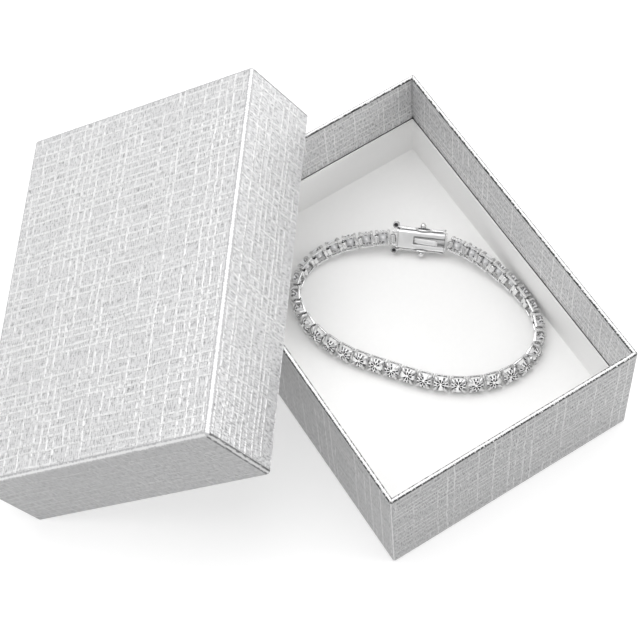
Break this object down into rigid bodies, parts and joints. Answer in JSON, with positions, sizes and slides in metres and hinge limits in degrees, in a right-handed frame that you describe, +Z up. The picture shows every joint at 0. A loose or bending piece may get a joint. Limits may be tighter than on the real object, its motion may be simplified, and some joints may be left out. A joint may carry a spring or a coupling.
{
  "type": "tennis bracelet in gift box",
  "caption": "Flexible silver tennis bracelet of round claw-set stones with a box clasp and safety latches, standing on edge in an open card gift box whose lid leans on it.",
  "frame": {"origin": "centre of the box base's underside", "axes": "+X along the base's short side, +Y along its long side, +Z up, out of its open top"},
  "size_m": [0.1588, 0.1555, 0.0624],
  "materials": {
    "polished_silver": "polished silver, with clear round stones",
    "clasp_silver": "polished silver",
    "silver_paper": "card under silver paper with a fine linen emboss",
    "lid_paper": "card under silver paper with a fine linen emboss",
    "white_card": "smooth white card"
  },
  "bodies": {
    "root": {"link_01": "polished_silver", "link_02": "polished_silver", "link_03": "polished_silver", "link_04": "polished_silver", "link_05": "polished_silver", "link_06": "polished_silver", "link_07": "polished_silver", "link_08": "polished_silver", "link_09": "polished_silver", "link_10": "polished_silver", "link_11": "polished_silver", "link_12": "polished_silver", "link_13": "polished_silver", "link_14": "polished_silver", "link_15": "polished_silver", "link_16": "polished_silver", "link_17": "polished_silver", "link_18": "polished_silver", "link_19": "polished_silver", "link_20": "polished_silver", "link_21": "polished_silver", "link_22": "polished_silver", "link_23": "polished_silver", "link_24": "polished_silver", "link_25": "polished_silver", "link_26": "polished_silver", "link_27": "polished_silver", "link_28": "polished_silver", "link_29": "polished_silver", "link_30": "polished_silver", "link_31": "polished_silver", "link_32": "polished_silver", "link_33": "polished_silver", "link_34": "polished_silver", "clasp_box": "clasp_silver", "clasp_tongue": "clasp_silver", "box_base": "silver_paper", "box_insert": "white_card", "box_lid": "lid_paper"},
    "latch_top": {"latch_top": "clasp_silver"},
    "latch_bottom": {"latch_bottom": "clasp_silver"}
  },
  "joints": [
    {"name": "latch_top_swing", "type": "hinge", "parent": "root", "child": "latch_top", "pos_m": [0.01556, 0.02787, 0.01275], "axis": [-0.4389, -0.505, 0.7431], "range_deg": [0, 110]},
    {"name": "latch_bottom_swing", "type": "hinge", "parent": "root", "child": "latch_bottom", "pos_m": [0.01201, 0.02379, 0.00788], "axis": [0.4389, 0.505, -0.7431], "range_deg": [0, 6]}
  ]
}
